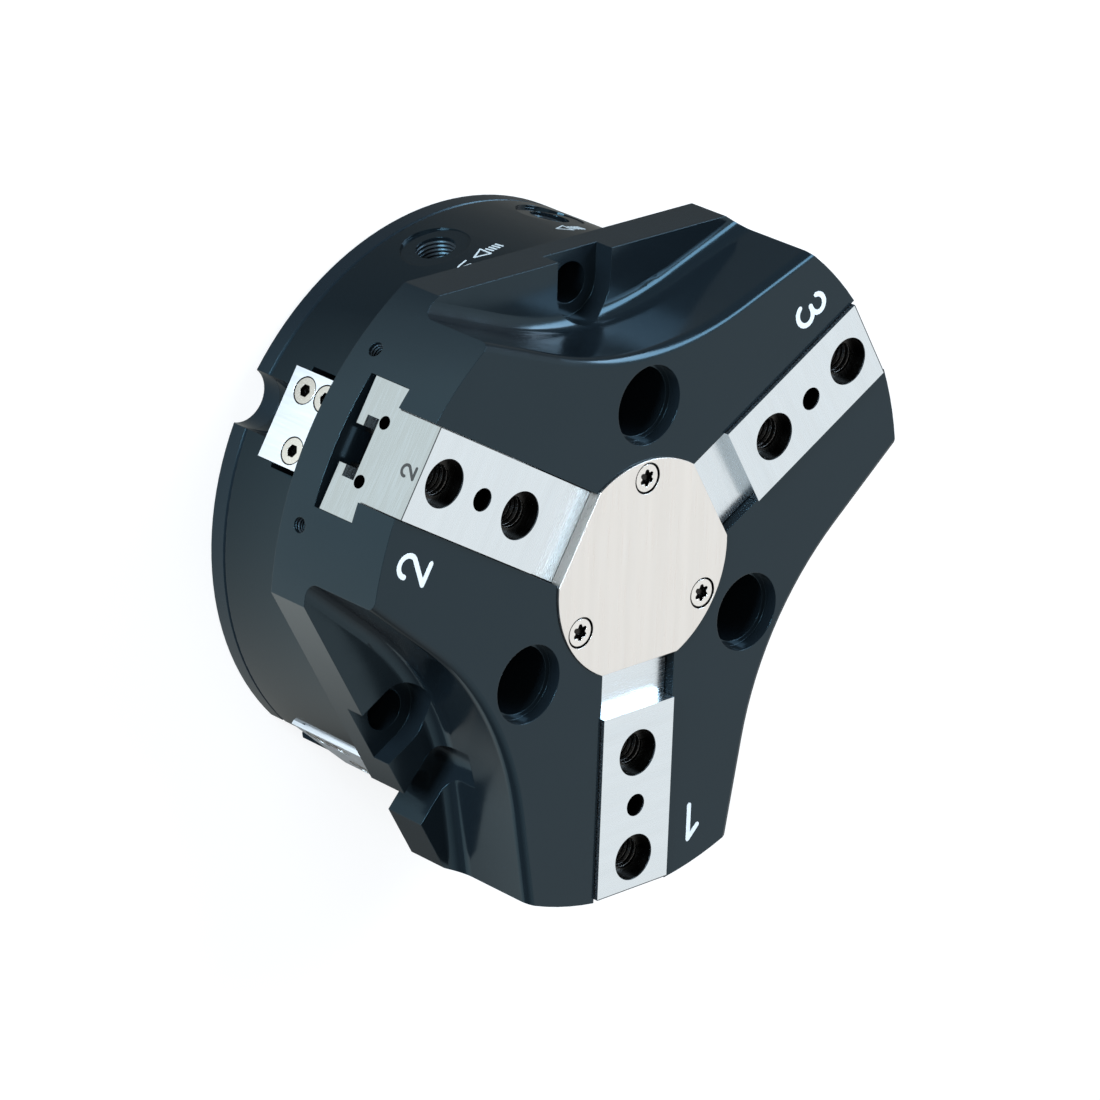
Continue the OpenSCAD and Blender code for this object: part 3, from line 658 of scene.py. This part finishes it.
floor_mesh = bpy.data.meshes.new("floor")
floor_mesh.from_pydata([(-FLOOR_HALF, -FLOOR_HALF, 0), (FLOOR_HALF, -FLOOR_HALF, 0),
                        (FLOOR_HALF, FLOOR_HALF, 0), (-FLOOR_HALF, FLOOR_HALF, 0)], [], [[0, 1, 2, 3]])
floor = bpy.data.objects.new("floor", floor_mesh)
floor.location.z = FLOOR_Z
bpy.context.scene.collection.objects.link(floor)
floor_look = bpy.data.materials.new("floor_white")
floor_look.use_nodes = True
tree = floor_look.node_tree
tree.nodes.remove(tree.nodes["Principled BSDF"])
seen, mirrored = ray_masks(tree)
shade = mixed(tree, mirrored, (FLOOR_GREY, FLOOR_GREY, FLOOR_GREY), (0.0, 0.0, 0.0))
diffuse = node(tree, "ShaderNodeBsdfDiffuse", {"Color": shade})
geometry = node(tree, "ShaderNodeNewGeometry")
ahead = vector_math(tree, "DOT_PRODUCT", geometry.outputs["Position"], (-1, 0, 0)).outputs["Value"]
ramp = remap(tree, ahead, BRIGHT_FROM, BRIGHT_TO, MIRRORED_DIM, MIRRORED_BRIGHT)
strength = math_node(tree, "MAXIMUM", math_node(tree, "MULTIPLY", mirrored, ramp),
                     math_node(tree, "MULTIPLY", seen, FLOOR_GLOW))
tone = mixed(tree, mirrored, (1.0, 1.0, 1.0), (0.95, 1.0, 0.97))
glow = node(tree, "ShaderNodeEmission", {"Strength": strength, "Color": tone})
upper_side = node(tree, "ShaderNodeAddShader", {0: diffuse.outputs[0], 1: glow.outputs[0]})
under_side = node(tree, "ShaderNodeBsdfTransparent")
surface = node(tree, "ShaderNodeMixShader", {0: geometry.outputs["Backfacing"], 1: upper_side.outputs[0],
                                             2: under_side.outputs[0]})
tree.links.new(surface.outputs[0], tree.nodes["Material Output"].inputs["Surface"])
floor_mesh.materials.append(floor_look)


def lamp(name, direction, distance, size, irradiance, colour=(1, 1, 1)):
    """An area lamp aimed at the gripper; irradiance 1 lights a facing white surface to white."""
    data = bpy.data.lights.new(name, "AREA")
    data.shape = "RECTANGLE"
    data.size, data.size_y = size
    data.energy = irradiance * (math.pi * distance) ** 2
    data.color = colour
    made = bpy.data.objects.new(name, data)
    towards = Vector(direction).normalized()
    made.location = Vector((0, 0, FRONT_Z / 2)) + towards * distance
    made.rotation_euler = (-towards).to_track_quat("-Z", "Y").to_euler()
    bpy.context.scene.collection.objects.link(made)


lamp("key", (-0.30, 0.25, 0.92), distance=1.3, size=(0.9, 0.9), irradiance=0.2)
lamp("strip", (0.62, 0.55, 0.56), distance=1.1, size=(0.34, 1.1), irradiance=1.3,
     colour=(0.62, 0.80, 1.0))
lamp("cool_fill", (-0.85, 0.50, 0.16), distance=1.3, size=(0.7, 0.5), irradiance=2.4,
     colour=(0.68, 0.85, 1.0))

# A long lens from the upper left, rolled so that arm 1 points down in the picture
EYE = Vector((-0.8406, 0.4953, 0.9271))
VIEW = Vector((0.63555, -0.37836, -0.67300)).normalized()
PICTURE_TOP = Vector((0.23347, 0.92506, -0.29959))
RIGHT = VIEW.cross(PICTURE_TOP).normalized()
UP = RIGHT.cross(VIEW)
camera_data = bpy.data.cameras.new("camera")
camera_data.sensor_width = 36
camera_data.lens = 205.9
camera_data.clip_start = 0.05
camera_data.clip_end = 20
camera = bpy.data.objects.new("camera", camera_data)
camera.matrix_world = Matrix.Translation(EYE) @ Matrix((RIGHT, UP, -VIEW)).transposed().to_4x4()
bpy.context.scene.collection.objects.link(camera)
bpy.context.scene.camera = camera
bpy.context.scene.view_settings.view_transform = "Standard"
